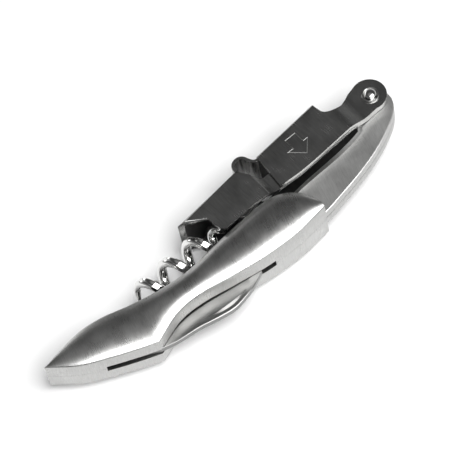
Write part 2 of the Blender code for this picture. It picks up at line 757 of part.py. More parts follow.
def place_frame():
    """Carries the layout's box to X = Y = 0 and its lowest crest to Z = 0."""
    blade_belly = -19.3 * MM
    tongue_top = 12.5 * MM + LEVER_SHEET / 2
    ear_end = HINGE.x + EAR_SHIFT + SHORT_EAR_RADIUS
    FRAME.location = (-ear_end / 2, -(blade_belly + tongue_top) / 2, BODY_HALF)


clear_scene()
FRAME = add_empty("corkscrew_frame")
build_handle()
build_pins()
build_washers()
build_slip_spring()
build_hinge()
build_short_lever()
build_long_lever()
build_lever_spring()
build_worm()
build_knuckle()
build_knife()
place_frame()
bpy.context.view_layer.update()
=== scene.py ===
import json
import math

import bmesh
import bpy
from mathutils import Matrix, Vector


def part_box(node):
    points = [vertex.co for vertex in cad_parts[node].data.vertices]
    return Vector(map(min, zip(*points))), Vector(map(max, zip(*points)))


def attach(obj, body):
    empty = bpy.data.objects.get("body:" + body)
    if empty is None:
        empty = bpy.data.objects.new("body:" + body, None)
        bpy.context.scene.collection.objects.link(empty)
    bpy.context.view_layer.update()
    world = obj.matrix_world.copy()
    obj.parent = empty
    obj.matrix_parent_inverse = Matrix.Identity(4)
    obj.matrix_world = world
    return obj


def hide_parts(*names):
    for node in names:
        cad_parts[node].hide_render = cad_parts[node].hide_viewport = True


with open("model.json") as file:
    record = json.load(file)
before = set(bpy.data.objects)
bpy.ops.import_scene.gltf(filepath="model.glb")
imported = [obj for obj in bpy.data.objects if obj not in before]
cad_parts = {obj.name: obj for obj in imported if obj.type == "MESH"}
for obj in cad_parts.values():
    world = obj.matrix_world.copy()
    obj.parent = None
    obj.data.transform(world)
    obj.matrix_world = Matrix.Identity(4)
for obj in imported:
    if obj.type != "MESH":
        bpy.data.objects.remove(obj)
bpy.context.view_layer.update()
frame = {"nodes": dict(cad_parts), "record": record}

# ---------------------------------------------------------------- camera
# The folded corkscrew lies on its side and is seen from above the back edge, over the tail, with
# a long lens. Places are laid out in millimetres from the tail's point, at mid thickness.
MM = 0.001
joint_places = {j["name"]: Vector(j["pos_m"]) for j in frame["record"]["behaviour"]["joints"]}
hinge = joint_places["lever_swing"]
worm_pivot = joint_places["worm_swing"]
knife_pivot = joint_places["knife_swing"]
tail_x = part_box("handle_near")[0].x
HINGE_HEIGHT = 2.9
CAMERA_DISTANCE = 0.7183


def spot(x, y, z=0.0):
    """A place on the tool: x from the tail's point, y towards the levers, z off mid thickness."""
    return Vector((tail_x + x * MM, hinge.y + (y - HINGE_HEIGHT) * MM, hinge.z + z * MM))


look_from = Vector((-0.238, -0.445, 0.864)).normalized()
picture_up = Vector((0.606, 0.627, 0.490))
picture_right = picture_up.cross(look_from).normalized()
picture_up = look_from.cross(picture_right).normalized()
camera_data = bpy.data.cameras.new("camera")
camera_data.sensor_width = 36.0
camera_data.lens = 213.1
camera_data.clip_start = 0.01
camera = bpy.data.objects.new("camera", camera_data)
looked_at = spot(63.56, 2.37, -0.09)
camera_place = looked_at + look_from * CAMERA_DISTANCE
camera_turn = Matrix((picture_right, picture_up, look_from)).transposed().to_4x4()
camera.matrix_world = Matrix.Translation(camera_place) @ camera_turn
bpy.context.scene.collection.objects.link(camera)
bpy.context.scene.camera = camera
bpy.context.scene.view_settings.view_transform = "Standard"

# ---------------------------------------------------------------- floor and lights
# A plain pale floor, one big soft panel overhead, a weak low one, and a dim room. Steel shows what
# is around it, so the big panel sits over the back edge and leaves the lever side darker.
FLOOR_REACH = 3.0
FLOOR_DROP = 0.0006
floor_mesh = bpy.data.meshes.new("floor")
floor_builder = bmesh.new()
bmesh.ops.create_grid(floor_builder, x_segments=1, y_segments=1, size=FLOOR_REACH)
floor_builder.to_mesh(floor_mesh)
floor_builder.free()
floor = bpy.data.objects.new("floor", floor_mesh)
floor_mesh.transform(Matrix.Translation((0.0, 0.0, -FLOOR_DROP)))
bpy.context.scene.collection.objects.link(floor)
floor_material = bpy.data.materials.new("pale_floor")
floor_material.use_nodes = True
floor_shader = floor_material.node_tree.nodes["Principled BSDF"]
floor_shader.inputs["Base Color"].default_value = (0.97, 0.97, 0.97, 1.0)
floor_shader.inputs["Roughness"].default_value = 0.9
floor_shader.inputs["Specular IOR Level"].default_value = 0.0
floor_mesh.materials.append(floor_material)


def soft_panel(name, towards, distance, width, height, power):
    """A square softbox that faces the tool."""
    data = bpy.data.lights.new(name, "AREA")
    data.shape = "RECTANGLE"
    data.size = width
    data.size_y = height
    data.energy = power
    lamp = bpy.data.objects.new(name, data)
    direction = Vector(towards).normalized()
    lamp.location = direction * distance
    lamp.rotation_euler = direction.to_track_quat("Z", "Y").to_euler()
    bpy.context.scene.collection.objects.link(lamp)
    return lamp


soft_panel("overhead_panel", (0.12, -0.42, 0.90), 1.1, 1.0, 0.8, 16.5)
soft_panel("low_side_panel", (-0.25, 0.92, 0.28), 1.4, 1.2, 0.35, 3.0)

world = bpy.data.worlds.new("room")
bpy.context.scene.world = world
world.use_nodes = True
room = world.node_tree
room_light = room.nodes["Background"]
room_light.inputs["Strength"].default_value = 0.55
room_way = room.nodes.new("ShaderNodeTexCoord")
room_split = room.nodes.new("ShaderNodeSeparateXYZ")
room_ramp = room.nodes.new("ShaderNodeValToRGB")
room.links.new(room_way.outputs["Generated"], room_split.inputs["Vector"])
room.links.new(room_split.outputs["Z"], room_ramp.inputs["Fac"])
room.links.new(room_ramp.outputs["Color"], room_light.inputs["Color"])
stops = room_ramp.color_ramp.elements
stops[0].position = 0.0
stops[0].color = (1.0, 1.0, 1.0, 1.0)
stops[1].position = 1.0
stops[1].color = (0.5, 0.5, 0.5, 1.0)
for place, shade in ((0.25, 0.45), (0.6, 0.12), (0.85, 0.12)):
    stop = stops.new(place)
    stop.color = (shade, shade, shade, 1.0)

# ---------------------------------------------------------------- handle castings
# Two stainless half castings, domed over the bolster and flat along the neck, joined on the
# middle plane by pins. The dome is belt-satined and the neck is ground coarser. The faces milled
# out for worm and knife get a dark steel as painted shade, for the shade inside bays and slots.

def brushed_steel(name, shade, rough, grain, grain_turn=0.0, depth=0.6, contrast=0.12):
    """Steel with drawn-out scratches; grain is how much finer they are along X, Y and Z."""
    material = bpy.data.materials.new(name)
    material.use_nodes = True
    tree = material.node_tree
    shader = tree.nodes["Principled BSDF"]
    shader.inputs["Metallic"].default_value = 1.0
    where = tree.nodes.new("ShaderNodeTexCoord")
    turned = tree.nodes.new("ShaderNodeMapping")
    turned.inputs["Rotation"].default_value = (0.0, 0.0, math.radians(grain_turn))
    drawn = tree.nodes.new("ShaderNodeMapping")
    drawn.inputs["Scale"].default_value = grain
    tree.links.new(where.outputs["Object"], turned.inputs["Vector"])
    tree.links.new(turned.outputs["Vector"], drawn.inputs["Vector"])
    scratches = tree.nodes.new("ShaderNodeTexNoise")
    scratches.inputs["Scale"].default_value = 1.0
    scratches.inputs["Detail"].default_value = 4.0
    scratches.inputs["Roughness"].default_value = 0.65
    tree.links.new(drawn.outputs["Vector"], scratches.inputs["Vector"])
    cloud = tree.nodes.new("ShaderNodeTexNoise")
    cloud.inputs["Scale"].default_value = 160.0
    cloud.inputs["Detail"].default_value = 3.0
    tree.links.new(where.outputs["Object"], cloud.inputs["Vector"])
    tone = tree.nodes.new("ShaderNodeMapRange")
    tone.inputs["From Min"].default_value = 0.3
    tone.inputs["From Max"].default_value = 0.7
    tone.inputs["To Min"].default_value = 1.0 - contrast
    tone.inputs["To Max"].default_value = 1.0 + contrast
    tree.links.new(scratches.outputs["Fac"], tone.inputs["Value"])
    tint = tree.nodes.new("ShaderNodeVectorMath")
    tint.operation = "SCALE"
    tint.inputs[0].default_value = (shade, shade, shade * 0.985)
    tree.links.new(tone.outputs["Result"], tint.inputs["Scale"])
    tree.links.new(tint.outputs["Vector"], shader.inputs["Base Color"])
    mixed = tree.nodes.new("ShaderNodeMath")
    mixed.operation = "MULTIPLY_ADD"
    tree.links.new(scratches.outputs["Fac"], mixed.inputs[0])
    mixed.inputs[1].default_value = 0.5
    tree.links.new(cloud.outputs["Fac"], mixed.inputs[2])
    gloss = tree.nodes.new("ShaderNodeMapRange")
    gloss.inputs["From Min"].default_value = 0.45
    gloss.inputs["From Max"].default_value = 1.05
    gloss.inputs["To Min"].default_value = rough * 0.78
    gloss.inputs["To Max"].default_value = rough * 1.22
    tree.links.new(mixed.outputs["Value"], gloss.inputs["Value"])
    tree.links.new(gloss.outputs["Result"], shader.inputs["Roughness"])
    relief = tree.nodes.new("ShaderNodeBump")
    relief.inputs["Strength"].default_value = depth
    relief.inputs["Distance"].default_value = 0.00002
    tree.links.new(scratches.outputs["Fac"], relief.inputs["Height"])
    tree.links.new(relief.outputs["Normal"], shader.inputs["Normal"])
    return material


def smooth_rows(rows, steps, corners=()):
    """A smooth run through rows of sizes, with a sharp turn at each listed row."""
    def slope(i, side):
        low = i if (i in corners and side > 0) else max(i - 1, 0)
        high = i if (i in corners and side < 0) else min(i + 1, len(rows) - 1)
        return [(b - a) / max(high - low, 1) for a, b in zip(rows[low], rows[high])]

    run = [list(rows[0])]
    for i in range(len(rows) - 1):
        leave = slope(i, 1)
        arrive = slope(i + 1, -1)
        for step in range(1, steps + 1):
            t = step / steps
            weights = (2 * t**3 - 3 * t**2 + 1, t**3 - 2 * t**2 + t, 3 * t**2 - 2 * t**3, t**3 - t**2)
            run.append([weights[0] * a + weights[1] * m + weights[2] * b + weights[3] * n
                        for a, m, b, n in zip(rows[i], leave, rows[i + 1], arrive)])
    return run


def shape(name, builder):
    """Turns a bmesh into an object with its faces pointing out."""
    bmesh.ops.recalc_face_normals(builder, faces=builder.faces)
    mesh = bpy.data.meshes.new(name)
    builder.to_mesh(mesh)
    builder.free()
    made = bpy.data.objects.new(name, mesh)
    bpy.context.scene.collection.objects.link(made)
    return made


def slab(name, outline, low, high):
    """A flat plate on an outline of places, between two heights off mid thickness."""
    builder = bmesh.new()
    base = builder.faces.new([builder.verts.new((p.x, p.y, hinge.z + low * MM)) for p in outline])
    grown = bmesh.ops.extrude_face_region(builder, geom=[base])
    lifted = [g for g in grown["geom"] if isinstance(g, bmesh.types.BMVert)]
    bmesh.ops.translate(builder, verts=lifted, vec=(0.0, 0.0, (high - low) * MM))
    return shape(name, builder)


def round_line(centre, radius, start, end, steps):
    """Places on an arc in the plane of the tool; angles in degrees."""
    angles = [math.radians(start + (end - start) * i / steps) for i in range(steps + 1)]
    return [centre + Vector((math.cos(a), math.sin(a), 0.0)) * (radius * MM) for a in angles]


def plug(name, centre, radius, low, high, sides=64):
    """A round cutter or disc through the thickness."""
    return slab(name, round_line(centre, radius, 0.0, 360.0 * (1 - 1 / sides), sides - 1), low, high)


def strip_line(line, width):
    """Both edges of a strip that follows a line of places."""
    left = []
    right = []
    for i, place in enumerate(line):
        run = (line[min(i + 1, len(line) - 1)] - line[max(i - 1, 0)]).normalized()
        side = Vector((-run.y, run.x, 0.0)) * (width * MM / 2)
        left.append(place + side)
        right.append(place - side)
    return left + right[::-1]


def worked(body, steps, steel=None, cut_steel=None):
    """Joins and cuts a body with helper shapes, which are then thrown away.

    Cut faces take cut_steel, where one is given.
    """
    if steel:
        body.data.materials.append(steel)
    for action, helper in steps:
        if cut_steel:
            helper.data.materials.append(cut_steel if action == "DIFFERENCE" else steel)
        modifier = body.modifiers.new(helper.name, "BOOLEAN")
        modifier.operation = action
        modifier.solver = "EXACT"
        modifier.material_mode = "TRANSFER"
        modifier.object = helper
    bpy.context.view_layer.update()
    state = bpy.context.evaluated_depsgraph_get()
    mesh = bpy.data.meshes.new_from_object(body.evaluated_get(state))
    body.modifiers.clear()
    body.data = mesh
    mesh.name = body.name
    for _, helper in steps:
        bpy.data.objects.remove(helper, do_unlink=True)
    return body


def finished(piece, material, body, slot, *nodes, angle=32.0):
    """Smooth round faces, one steel if given, and the piece's place in the assembly."""
    if material:
        piece.data.materials.clear()
        piece.data.materials.append(material)
    piece.data.shade_smooth()
    piece.data.set_sharp_from_angle(angle=math.radians(angle))
    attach(piece, body)
    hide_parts(*nodes)
    return piece


# Worm side x and y, back edge x and y, depth of both rims below the crest, and the dome's rise.
dome_sections = (
    (0.0, 0.0, 0.0, 0.0, 2.7, 2.7, 0.0),
    (7.4, 1.3, 6.8, -5.9, 2.5, 2.6, 0.7),
    (14.0, 1.8, 14.3, -9.9, 2.3, 2.5, 1.1),
    (20.5, 0.9, 21.5, -13.2, 2.2, 2.4, 1.2),
    (27.0, -1.1, 26.9, -15.4, 2.2, 2.3, 1.2),
    (36.5, -3.4, 36.0, -12.4, 2.1, 2.1, 1.2),
    (46.0, -4.3, 44.0, -12.4, 2.0, 1.9, 1.2),
    (56.0, -3.4, 54.0, -14.3, 1.8, 1.7, 1.3),
    (66.0, -2.7, 64.0, -16.0, 1.6, 1.4, 1.5),
    (76.0, -2.9, 74.0, -16.5, 1.5, 1.2, 1.3),
    (82.0, -6.4, 80.0, -16.0, 1.6, 1.1, 1.1),
    (85.0, -12.4, 84.6, -15.5, 1.6, 1.1, 0.6),
)
DOME_CREST = 7.8
RIM_ROUND = 0.3
BOLSTER_SEAM = 0.03
NECK_SEAM = 0.1
NECK_TOP = 2.9
SEAM_CHAMFER = 0.1
NECK_BACK_CHAMFER = 0.25
CHAMFER_FALL = 0.55


def dome_half(name, side):
    """One half of the bolster, with softly rounded rims."""
    across = 26
    builder = bmesh.new()
    loops = []
    for xw, yw, xb, yb, drop_w, drop_b, rise in smooth_rows(dome_sections, 12, corners=(4,)):
        width = math.hypot(xb - xw, yb - yw)
        soft = min(RIM_ROUND, width * 0.2)
        shares = [0.0, 0.0, soft * 0.3 / max(width, 1e-6)]
        inner = [(1 - math.cos(math.pi * j / across)) / 2 for j in range(across + 1)]
        start = soft / max(width, 1e-6)
        shares += [start + (1 - 2 * start) * s for s in inner]
        shares += [1 - shares[2], 1.0, 1.0]
        loop = []
        for j, s in enumerate(shares):
            x = xw + s * (xb - xw)
            y = yw + s * (yb - yw)
            z = DOME_CREST - (drop_w + s * (drop_b - drop_w)) + rise * (1 - abs(2 * s - 1) ** 2.5)
            if j in (0, len(shares) - 1):
                z = BOLSTER_SEAM
            elif j in (1, len(shares) - 2):
                z -= soft
            elif j in (2, len(shares) - 3):
                z -= soft * 0.3
            loop.append(builder.verts.new(spot(x, y, side * z)))
        loops.append(loop)
    for first, second in zip(loops, loops[1:]):
        for j in range(len(first) - 1):
            builder.faces.new((first[j], first[j + 1], second[j + 1], second[j]))
    for first, second in zip(loops, loops[1:]):
        builder.faces.new((first[0], second[0], second[-1], first[-1]))
    builder.faces.new(loops[-1])
    bmesh.ops.remove_doubles(builder, verts=builder.verts, dist=1e-7)
    bmesh.ops.dissolve_degenerate(builder, dist=1e-8, edges=builder.edges)
    return shape(name, builder)


def neck_line():
    """The neck's outline from inside the bolster, round the hinge and back, with its chamfers."""
    back = smooth_rows([(78.0, -15.4), (85.0, -15.1), (93.1, -13.7), (101.1, -12.0), (108.0, -9.9),
                        (113.6, -7.5), (117.8, -5.1), (120.4, -2.7), (121.6, -0.4)], 5)
    worm_side = smooth_rows([(108.0, -1.9, 1.3), (103.5, -2.6, 1.5), (97.2, -3.15, 1.55),
                             (85.0, -3.85, 1.3), (78.0, -5.2, 1.3)], 5)
    end = round_line(hinge, 4.75, 0.0, 175.0, 40)
    line = [(spot(x, y), NECK_BACK_CHAMFER) for x, y in back] + [(p, 0.25) for p in end]
    return line + [(spot(x, y), width) for x, y, width in worm_side]


def neck_half(name, side):
    """One flat half of the neck: seam edge, side wall, then chamfers of changing width."""
    line = neck_line()
    builder = bmesh.new()
    rings = [[], [], [], []]
    for i, (place, width) in enumerate(line):
        run = (line[(i + 1) % len(line)][0] - line[i - 1][0]).normalized()
        inward = Vector((-run.y, run.x, 0.0)) * MM
        for ring, inset, height in zip(rings, (SEAM_CHAMFER, 0.0, 0.0, width),
                                       (NECK_SEAM, NECK_SEAM + SEAM_CHAMFER,
                                        NECK_TOP - width * CHAMFER_FALL, NECK_TOP)):
            spot_now = place + inward * inset
            spot_now.z = hinge.z + side * height * MM
            ring.append(builder.verts.new(spot_now))
    for first, second in zip(rings, rings[1:]):
        for k in range(len(line)):
            n = (k + 1) % len(line)
            builder.faces.new((first[k], first[n], second[n], second[k]))
    builder.faces.new(rings[0])
    builder.faces.new(rings[-1])
    return shape(name, builder)


WORM_RADIUS = 4.9
WORM_TIP = (31.3, 0.43)
WORM_SHANK = (62.0, 1.35)
WORM_SLOPE = (WORM_SHANK[1] - WORM_TIP[1]) / (WORM_SHANK[0] - WORM_TIP[0])


def worm_height(x):
    """Height of the worm's centre line over a place along the tool, in millimetres."""
    return WORM_TIP[1] + (x - WORM_TIP[0]) * WORM_SLOPE


RUN_CLEARANCE = 0.3
BAY_WALL = 0.9
SLIP_SPRING_ROOM = 2.0
SPRING_TO_KNIFE = 1.9
BAY_ENDS = (30.1, 65.5)
PIN_DEPTH = 4.15
knife_roof = (worm_height(44.0) - WORM_RADIUS - RUN_CLEARANCE - BAY_WALL - SLIP_SPRING_ROOM
              - SPRING_TO_KNIFE - RUN_CLEARANCE)


def recesses(tag):
    """Everything that is milled out of the castings."""
    bay_half = WORM_RADIUS + RUN_CLEARANCE
    bay_low, bay_high = BAY_ENDS
    bay = [spot(bay_low, 12.0), spot(bay_low, worm_height(bay_low) - bay_half),
           spot(bay_high, worm_height(bay_high) - bay_half), spot(bay_high, 12.0)]
    knuckle = [spot(72.0 + x, -5.2 + y) for x, y in ((-8.0, 12.0), (-8.0, 0.6), (-3.0, -1.6),
                                                    (3.0, -1.6), (6.2, 3.2), (6.2, 12.0))]
    pocket = [spot(13.0, -30.0), spot(13.0, -9.1), spot(16.9, -5.1), spot(23.7, -6.9),
              spot(30.0, knife_roof), spot(52.0, knife_roof), spot(60.0, -12.0),
              spot(66.0, -14.6), spot(66.0, -30.0)]
    cutters = [slab("bay" + tag, bay, -bay_half, bay_half),
               slab("knuckle_slot" + tag, knuckle, -2.2, 2.2),
               plug("knuckle_seat" + tag, worm_pivot, 3.2, -2.2, 2.2),
               slab("knife_slot" + tag, pocket, -1.15, 1.15),
               plug("tang_seat" + tag, knife_pivot, 3.7, -1.15, 1.15),
               plug("bush_seat" + tag, hinge, 2.45, -8.0, 8.0),
               plug("knife_pin_seat" + tag, knife_pivot, 1.4, -PIN_DEPTH, PIN_DEPTH),
               plug("worm_pin_seat" + tag, worm_pivot, 1.4, -PIN_DEPTH, PIN_DEPTH)]
    return [("DIFFERENCE", cutter) for cutter in cutters]


def coarser_past(material, start, end, rough):
    """Raises a steel's roughness smoothly along the tool's length, where it is ground coarser."""
    tree = material.node_tree
    shader = tree.nodes["Principled BSDF"]
    finish = shader.inputs["Roughness"].links[0].from_socket
    where = tree.nodes.new("ShaderNodeTexCoord")
    parts = tree.nodes.new("ShaderNodeSeparateXYZ")
    tree.links.new(where.outputs["Object"], parts.inputs["Vector"])
    share = tree.nodes.new("ShaderNodeMapRange")
    share.interpolation_type = "SMOOTHSTEP"
    share.inputs["From Min"].default_value = spot(start, 0).x
    share.inputs["From Max"].default_value = spot(end, 0).x
    share.inputs["To Max"].default_value = rough
    tree.links.new(parts.outputs["X"], share.inputs["Value"])
    total = tree.nodes.new("ShaderNodeMath")
    total.operation = "ADD"
    tree.links.new(finish, total.inputs[0])
    tree.links.new(share.outputs["Result"], total.inputs[1])
    tree.links.new(total.outputs["Value"], shader.inputs["Roughness"])


satin = brushed_steel("satin_casting", 0.48, 0.30, (6000.0, 420.0, 420.0), grain_turn=18.0,
                      depth=0.5, contrast=0.13)
NECK_GRIND = (82.0, 86.0)
coarser_past(satin, *NECK_GRIND, 0.15)
# Dark, rough steel for the milled-out faces: painted shade for the shade inside the bays and slots.
recess_painted_shade = brushed_steel("painted_shade_recess", 0.13, 0.42, (700.0, 700.0, 700.0), depth=0.4)
for tag, side in (("near", 1), ("far", -1)):
    half = dome_half("handle_half_" + tag, side)
    worked(half, [("UNION", neck_half("neck_" + tag, side))] + recesses("_" + tag),
           steel=satin, cut_steel=recess_painted_shade)
    finished(half, None, "handle", "satin_casting", "handle_" + tag, angle=22.0)

# ---------------------------------------------------------------- short lever
# Outer lever: 1 mm stainless sheet folded to a channel, stepped in to two ears on the hinge. Its
# web ends in a curled tongue, the first step, and the crown-cap notch is cut through both walls.
# The stamped arrow shows which way to press.
SHEET = 1.0
LEVER_HALF = 7.6
EAR_OUT = 5.4
EDGE_ROUND = 0.14
FOLD_ROUND = 1.0
FOLD_INSIDE = 0.3
EYE_RADIUS = 1.35
JOGGLE = (105.0, 112.4)


def eased(x, start, end, before, after):
    """A size that changes smoothly between two places along the tool."""
    t = min(max((x - start) / (end - start), 0.0), 1.0)
    t = t * t * (3 - 2 * t)
    return before + t * (after - before)


def folded(name, outline, half_at, bends, fold_edges, fold_round, inset=0.0):
    """A solid with stepped sides whose listed long edges are rounded as a fold is."""
    builder = bmesh.new()
    full = max(half_at(x) for x in (55.0, 90.0)) - inset
    base = builder.faces.new([builder.verts.new((p.x, p.y, -full * MM)) for p in outline])
    grown = bmesh.ops.extrude_face_region(builder, geom=[base])
    lifted = [g for g in grown["geom"] if isinstance(g, bmesh.types.BMVert)]
    bmesh.ops.translate(builder, verts=lifted, vec=(0.0, 0.0, 2 * full * MM))
    picked = []
    for edge in builder.edges:
        a, b = (v.co for v in edge.verts)
        if abs(a.z - b.z) < 1e-7:
            middle = (a + b) / 2
            if any(low < (middle.x - tail_x) / MM < high and middle.y > spot(0, floor_y).y
                   for low, high, floor_y in fold_edges):
                picked.append(edge)
    if picked:
        bmesh.ops.bevel(builder, geom=picked, offset=fold_round * MM, segments=8, profile=0.5,
                        affect="EDGES")
    for start, end in bends:
        for i in range(9):
            x = tail_x + (start + (end - start) * i / 8) * MM
            parts = builder.verts[:] + builder.edges[:] + builder.faces[:]
            bmesh.ops.bisect_plane(builder, geom=parts, plane_co=(x, 0, 0), plane_no=(1, 0, 0))
    for vert in builder.verts:
        wanted = half_at((vert.co.x - tail_x) / MM) - inset
        vert.co.z = hinge.z + vert.co.z * wanted / full
    return shape(name, builder)


def softened(piece, width):
    """A fine round on every sharp edge, as tumbling leaves it."""
    modifier = piece.modifiers.new("edge_round", "BEVEL")
    modifier.width = width * MM
    modifier.segments = 2
    modifier.limit_method = "ANGLE"
    modifier.angle_limit = math.radians(35.0)
    modifier.harden_normals = False
    return worked(piece, [])


def short_half(x):
    return eased(x, *JOGGLE, LEVER_HALF, EAR_OUT)


def channel_hollow(web_start, web_end, left, right):
    """Inside of a channel: under the web, then open to the top past the web's end."""
    def under(x):
        t = (x - web_start[0]) / (web_end[0] - web_start[0])
        return web_start[1] + t * (web_end[1] - web_start[1]) - SHEET

    return [spot(left, -20.0), spot(right, -20.0), spot(right, 20.0), spot(web_end[0], 20.0),
            spot(web_end[0], under(web_end[0])), spot(left, under(left))]


ear_centre = hinge + Vector((-0.2, 0.4, 0.0)) * MM
free_edge = [spot(x, y) for x, y in smooth_rows([(80.6, -2.85), (87.3, -3.2), (95.0, -2.9),
                                                 (103.4, -2.3), (108.5, -2.0)], 3)]
ear = round_line(ear_centre, 4.95, -105.0, 105.0, 44)
notch = [spot(x, y) for x, y in smooth_rows([(112.6, 7.3), (110.6, 6.3), (108.3, 5.4),
                                             (105.4, 5.6), (103.5, 6.9), (103.0, 9.0)], 5)]
web = [spot(102.8, 10.9), spot(81.3, 9.0), spot(80.25, -2.3)]
short_outline = free_edge + ear + notch + web
short_web = ((81.3, 9.0), (102.8, 10.9))
short_lever = folded("short_lever_channel", short_outline, short_half, [JOGGLE],
                     [(82.0, 102.0, 8.0)], FOLD_ROUND)
short_hollow = folded("short_hollow", channel_hollow(*short_web, 70.0, 130.0), short_half,
                      [JOGGLE], [(60.0, 102.0, 4.0)], FOLD_INSIDE, inset=SHEET)
tongue_line = [spot(x, y) for x, y in smooth_rows(
    [(84.5, 8.78), (81.4, 8.55), (80.2, 9.0), (79.4, 10.3), (78.9, 11.6), (77.9, 12.45),
     (76.5, 12.5), (75.3, 11.8), (74.8, 10.8), (74.7, 9.9)], 4)]
tongue = slab("tongue", strip_line(tongue_line, 0.9), -6.1, 6.1)
brushed_sheet = brushed_steel("brushed_sheet", 0.42, 0.24, (5200.0, 300.0, 300.0),
                              depth=0.5, contrast=0.13)
# Dark steel for the channels' inside faces: painted shade for the shade inside the folded levers.
fold_inside_painted_shade = brushed_steel("fold_inside_painted_shade", 0.12, 0.40, (900.0, 300.0, 300.0), depth=0.4)
worked(short_lever, [("DIFFERENCE", short_hollow), ("UNION", tongue),
                     ("DIFFERENCE", plug("short_eye", hinge, EYE_RADIUS, -20.0, 20.0))],
       steel=brushed_sheet, cut_steel=fold_inside_painted_shade)
softened(short_lever, EDGE_ROUND)


def stamped_outline(name, corners, width, depth):
    """Cutter for a shallow V groove that runs round a closed figure in the near wall."""
    places = [spot(x, y) for x, y in corners]
    builder = bmesh.new()
    rings = [[], [], [], []]
    for i, place in enumerate(places):
        before = (place - places[i - 1]).normalized()
        after = (places[(i + 1) % len(places)] - place).normalized()
        mitre = (Vector((-before.y, before.x, 0.0)) + Vector((-after.y, after.x, 0.0))).normalized()
        reach = width * MM / 2 / max(mitre.dot(Vector((-after.y, after.x, 0.0))), 0.3)
        for ring, way, height in zip(rings, (1, 0, -1, 0), (0.02, -depth, 0.02, 1.0)):
            corner = place + mitre * (way * reach)
            corner.z = hinge.z + (LEVER_HALF + height) * MM
            ring.append(builder.verts.new(corner))
    for first, second in zip(rings, rings[1:] + rings[:1]):
        for k in range(len(places)):
            n = (k + 1) % len(places)
            builder.faces.new((first[k], first[n], second[n], second[k]))
    return shape(name, builder)


ARROW_DEPTH = 0.1
arrow = [(90.1, 7.0), (90.1, 3.6), (88.3, 3.6), (91.9, 0.0), (95.1, 3.6), (93.6, 3.6),
         (93.6, 7.0)]
stamped = brushed_steel("stamped_line", 0.26, 0.50, (900.0, 900.0, 900.0), depth=0.3)
worked(short_lever, [("DIFFERENCE", stamped_outline("arrow", arrow, 0.34, ARROW_DEPTH))],
       cut_steel=stamped)
finished(short_lever, None, "short_lever", "brushed_sheet", "short_lever", angle=20.0)

# ---------------------------------------------------------------- long lever
# Inner lever: one folded sheet with a wide foot, whose notched end is the second step, and two
# narrow side bars that run inside the short lever to eyes on the same rivet.
BAR_OUT = 6.3
EYE_OUT = 4.15
FOOT_STEP = (75.6, 78.6)


def long_half(x):
    if x < 90.0:
        return eased(x, *FOOT_STEP, LEVER_HALF, BAR_OUT)
    return eased(x, *JOGGLE, BAR_OUT, EYE_OUT)


foot_web_low = (52.1, worm_height(52.1) + WORM_RADIUS + RUN_CLEARANCE + SHEET)
foot_web = (foot_web_low, (73.1, 9.15))
foot = [spot(*foot_web_low), spot(59.4, 3.3), spot(59.6, 0.4)]
foot += [spot(x, y) for x, y in smooth_rows([(59.9, -1.5), (60.8, -2.3), (62.3, -2.45),
                                             (67.0, -2.2), (72.8, -2.2), (78.0, -2.6)], 4)]
bar_low = [spot(x, y) for x, y in smooth_rows([(87.3, -3.1), (103.4, -2.3), (110.0, -1.7)], 4)]
eye = round_line(hinge, 4.3, -100.0, 120.0, 36)
bar_top = [spot(108.0, 4.0), spot(90.0, 3.0), spot(77.9, 3.0)]
shoulder = [spot(x, y) for x, y in smooth_rows([(77.3, 3.8), (76.8, 4.8), (75.6, 6.95),
                                                (74.6, 8.3), (73.1, 9.15)], 3)]
long_lever = folded("long_lever_channel", foot + bar_low + eye + bar_top + shoulder, long_half,
                    [FOOT_STEP, JOGGLE], [(53.0, 73.0, 5.0)], FOLD_ROUND)
long_hollow = folded("long_hollow", channel_hollow(*foot_web, 45.0, 130.0), long_half,
                     [FOOT_STEP, JOGGLE], [(40.0, 73.0, 2.0)], FOLD_INSIDE, inset=SHEET)
worked(long_lever, [("DIFFERENCE", long_hollow),
                    ("DIFFERENCE", plug("long_eye", hinge, EYE_RADIUS, -20.0, 20.0))],
       steel=brushed_sheet, cut_steel=fold_inside_painted_shade)
softened(long_lever, EDGE_ROUND)
finished(long_lever, None, "long_lever", "brushed_sheet", "long_lever", angle=20.0)

# ---------------------------------------------------------------- worm
# Right-handed coil of polished wire with a groove rolled along its outer side, ground to a point
# at the tail end; the other end closes on the axis and drops into the knuckle's socket.
WIRE_RADIUS = 1.4
WORM_PITCH = 8.8
COIL_START = 31.3
COIL_END = 63.4
TIP_PHASE = -123.0


